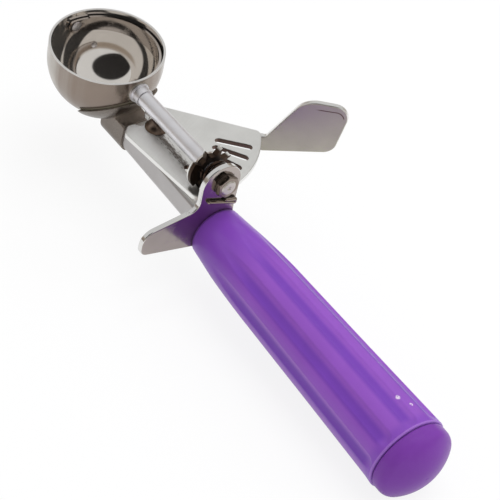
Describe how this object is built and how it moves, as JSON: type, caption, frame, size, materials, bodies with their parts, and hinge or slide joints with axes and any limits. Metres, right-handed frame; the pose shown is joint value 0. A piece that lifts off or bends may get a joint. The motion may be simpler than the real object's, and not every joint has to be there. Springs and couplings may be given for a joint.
{
  "type": "ice cream scoop",
  "caption": "Thumb-lever ice cream scoop with a round bowl, a swinging scraper blade, a slotted fan lever that turns a pinion, and a fluted grip.",
  "frame": {"origin": "centre of the bowl's mouth, in the plane of its rim", "axes": "+Z out of the bowl's mouth, +X along the shaft towards the handle, +Y towards the thumb tab's side"},
  "size_m": [0.2143, 0.084, 0.057],
  "materials": {
    "bowl_steel": "mirror polished stainless steel",
    "blade_steel": "polished stainless steel strip",
    "shaft_steel": "bright drawn stainless steel",
    "lever_steel": "satin stainless steel sheet",
    "stem_steel": "polished stainless steel bar",
    "guard_steel": "satin faces with a polished edge",
    "rivet_steel": "polished steel, darkened in the joints",
    "pinion_steel": "dark worn steel with rust in the tooth roots",
    "spring_steel": "oil-dark spring steel",
    "grip_plastic": "moulded purple, glossy",
    "cap_plastic": "moulded purple, glossy"
  },
  "bodies": {
    "frame": {"bowl": "bowl_steel", "bowl_bushing": "shaft_steel", "bowl_pivot_pin": "rivet_steel", "saddle": "stem_steel", "stem": "stem_steel", "guard_plate": "guard_steel", "lever_spacer": "rivet_steel", "lever_washer": "shaft_steel", "pivot_rivet": "rivet_steel", "handle_grip": "grip_plastic", "end_cap": "cap_plastic", "return_spring": "spring_steel"},
    "blade_drive": {"scraper_blade": "blade_steel", "blade_shaft": "shaft_steel", "thrust_washer": "shaft_steel", "pinion": "pinion_steel", "rear_washer": "shaft_steel", "shaft_nut": "shaft_steel"},
    "lever": {"lever": "lever_steel"}
  },
  "joints": [
    {"name": "lever_swing", "type": "hinge", "parent": "frame", "child": "lever", "pos_m": [0.0333, 0, -0.0052], "axis": [0, 0, 1], "range_deg": [-41.2, 0], "stiffness_Nm_per_rad": 0.2, "springref_deg": 28.65},
    {"name": "blade_turn", "type": "hinge", "parent": "frame", "child": "blade_drive", "pos_m": [0, 0, -0.0052], "axis": [1, 0, 0], "range_deg": [-180, 0], "deforming": ["return_spring"]}
  ],
  "couplings": [
    {"joint": "blade_turn", "follows": "lever_swing", "ratio": 4.3689}
  ]
}
